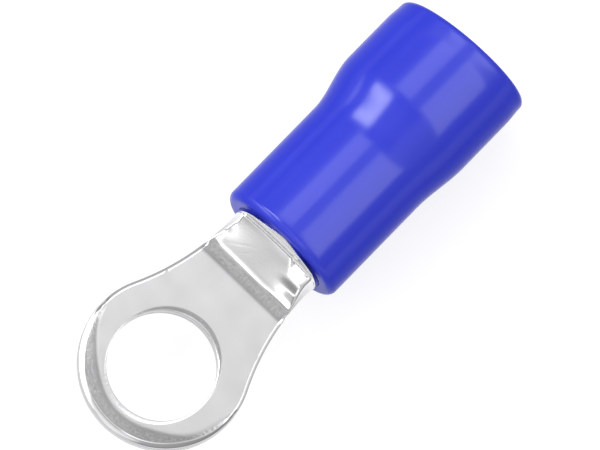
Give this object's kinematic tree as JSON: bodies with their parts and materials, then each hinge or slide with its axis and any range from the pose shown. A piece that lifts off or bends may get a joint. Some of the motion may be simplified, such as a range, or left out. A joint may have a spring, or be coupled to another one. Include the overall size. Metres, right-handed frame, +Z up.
{
  "type": "ring terminal",
  "caption": "Insulated crimp ring terminal: tinned ring tongue for a stud, ramped into a rolled wire barrel inside a blue stepped sleeve.",
  "frame": {"origin": "centre of the stud hole, on the underside of the tongue", "axes": "+Z up along the stud, +X from the ring towards the wire entry, tongue flat in XY"},
  "size_m": [0.0203, 0.0068, 0.0061],
  "materials": {
    "tinned_copper": "bright tin plate, satin in the pressed parts",
    "blue_pvc": "semi-gloss moulded vinyl"
  },
  "bodies": {
    "root": {"terminal": "tinned_copper", "sleeve": "blue_pvc"}
  },
  "joints": []
}
